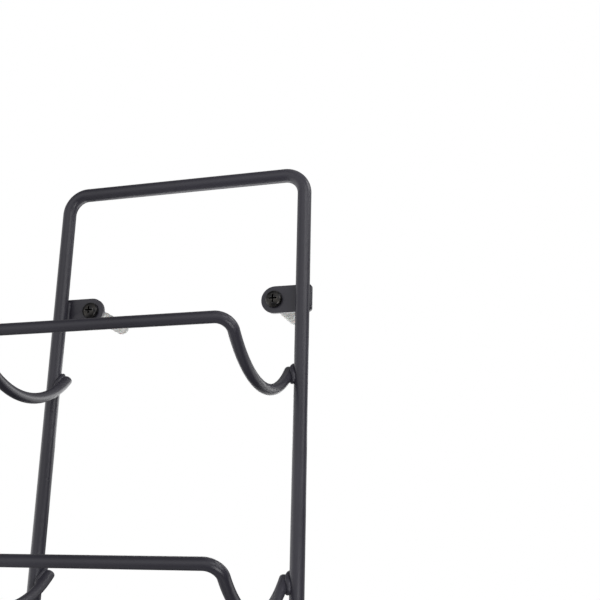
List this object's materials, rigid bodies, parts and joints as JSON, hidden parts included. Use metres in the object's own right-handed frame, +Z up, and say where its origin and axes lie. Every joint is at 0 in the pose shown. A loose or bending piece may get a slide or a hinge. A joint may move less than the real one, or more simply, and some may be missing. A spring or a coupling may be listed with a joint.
{
  "type": "wall-mounted wine rack",
  "caption": "Upright wall rack of bent and welded black steel rod: a rounded rectangular back frame with a column of cradles that each hold a bottle lying along the wall.",
  "frame": {"origin": "on the wall's surface, midway between the two upper screws", "axes": "+Z up, +X to the right as one faces the rack, +Y into the wall, so the bottles lie along X on the -Y side"},
  "size_m": [0.1616, 0.1462, 0.6029],
  "materials": {
    "powder_coat": "satin charcoal black powder coat",
    "black_zinc": "black zinc plated steel",
    "nylon": "light grey moulded nylon"
  },
  "bodies": {
    "root": {"back_frame": "powder_coat", "frame_seam_weld": "powder_coat", "cradle_1": "powder_coat", "cradle_1_weld_left": "powder_coat", "cradle_1_weld_right": "powder_coat", "cradle_2": "powder_coat", "cradle_2_weld_left": "powder_coat", "cradle_2_weld_right": "powder_coat", "cradle_3": "powder_coat", "cradle_3_weld_left": "powder_coat", "cradle_3_weld_right": "powder_coat", "cradle_4": "powder_coat", "cradle_4_weld_left": "powder_coat", "cradle_4_weld_right": "powder_coat", "cradle_5": "powder_coat", "cradle_5_weld_left": "powder_coat", "cradle_5_weld_right": "powder_coat", "wall_tab_upper_left": "powder_coat", "wall_tab_upper_left_weld_inner": "powder_coat", "wall_tab_upper_left_weld_outer": "powder_coat", "wall_tab_upper_right": "powder_coat", "wall_tab_upper_right_weld_inner": "powder_coat", "wall_tab_upper_right_weld_outer": "powder_coat", "wall_tab_lower_left": "powder_coat", "wall_tab_lower_left_weld_inner": "powder_coat", "wall_tab_lower_left_weld_outer": "powder_coat", "wall_tab_lower_right": "powder_coat", "wall_tab_lower_right_weld_inner": "powder_coat", "wall_tab_lower_right_weld_outer": "powder_coat", "wall_screw_upper_left": "black_zinc", "wall_screw_upper_right": "black_zinc", "wall_screw_lower_left": "black_zinc", "wall_screw_lower_right": "black_zinc", "wall_plug_upper_left": "nylon", "wall_plug_upper_right": "nylon", "wall_plug_lower_left": "nylon", "wall_plug_lower_right": "nylon"}
  },
  "joints": []
}
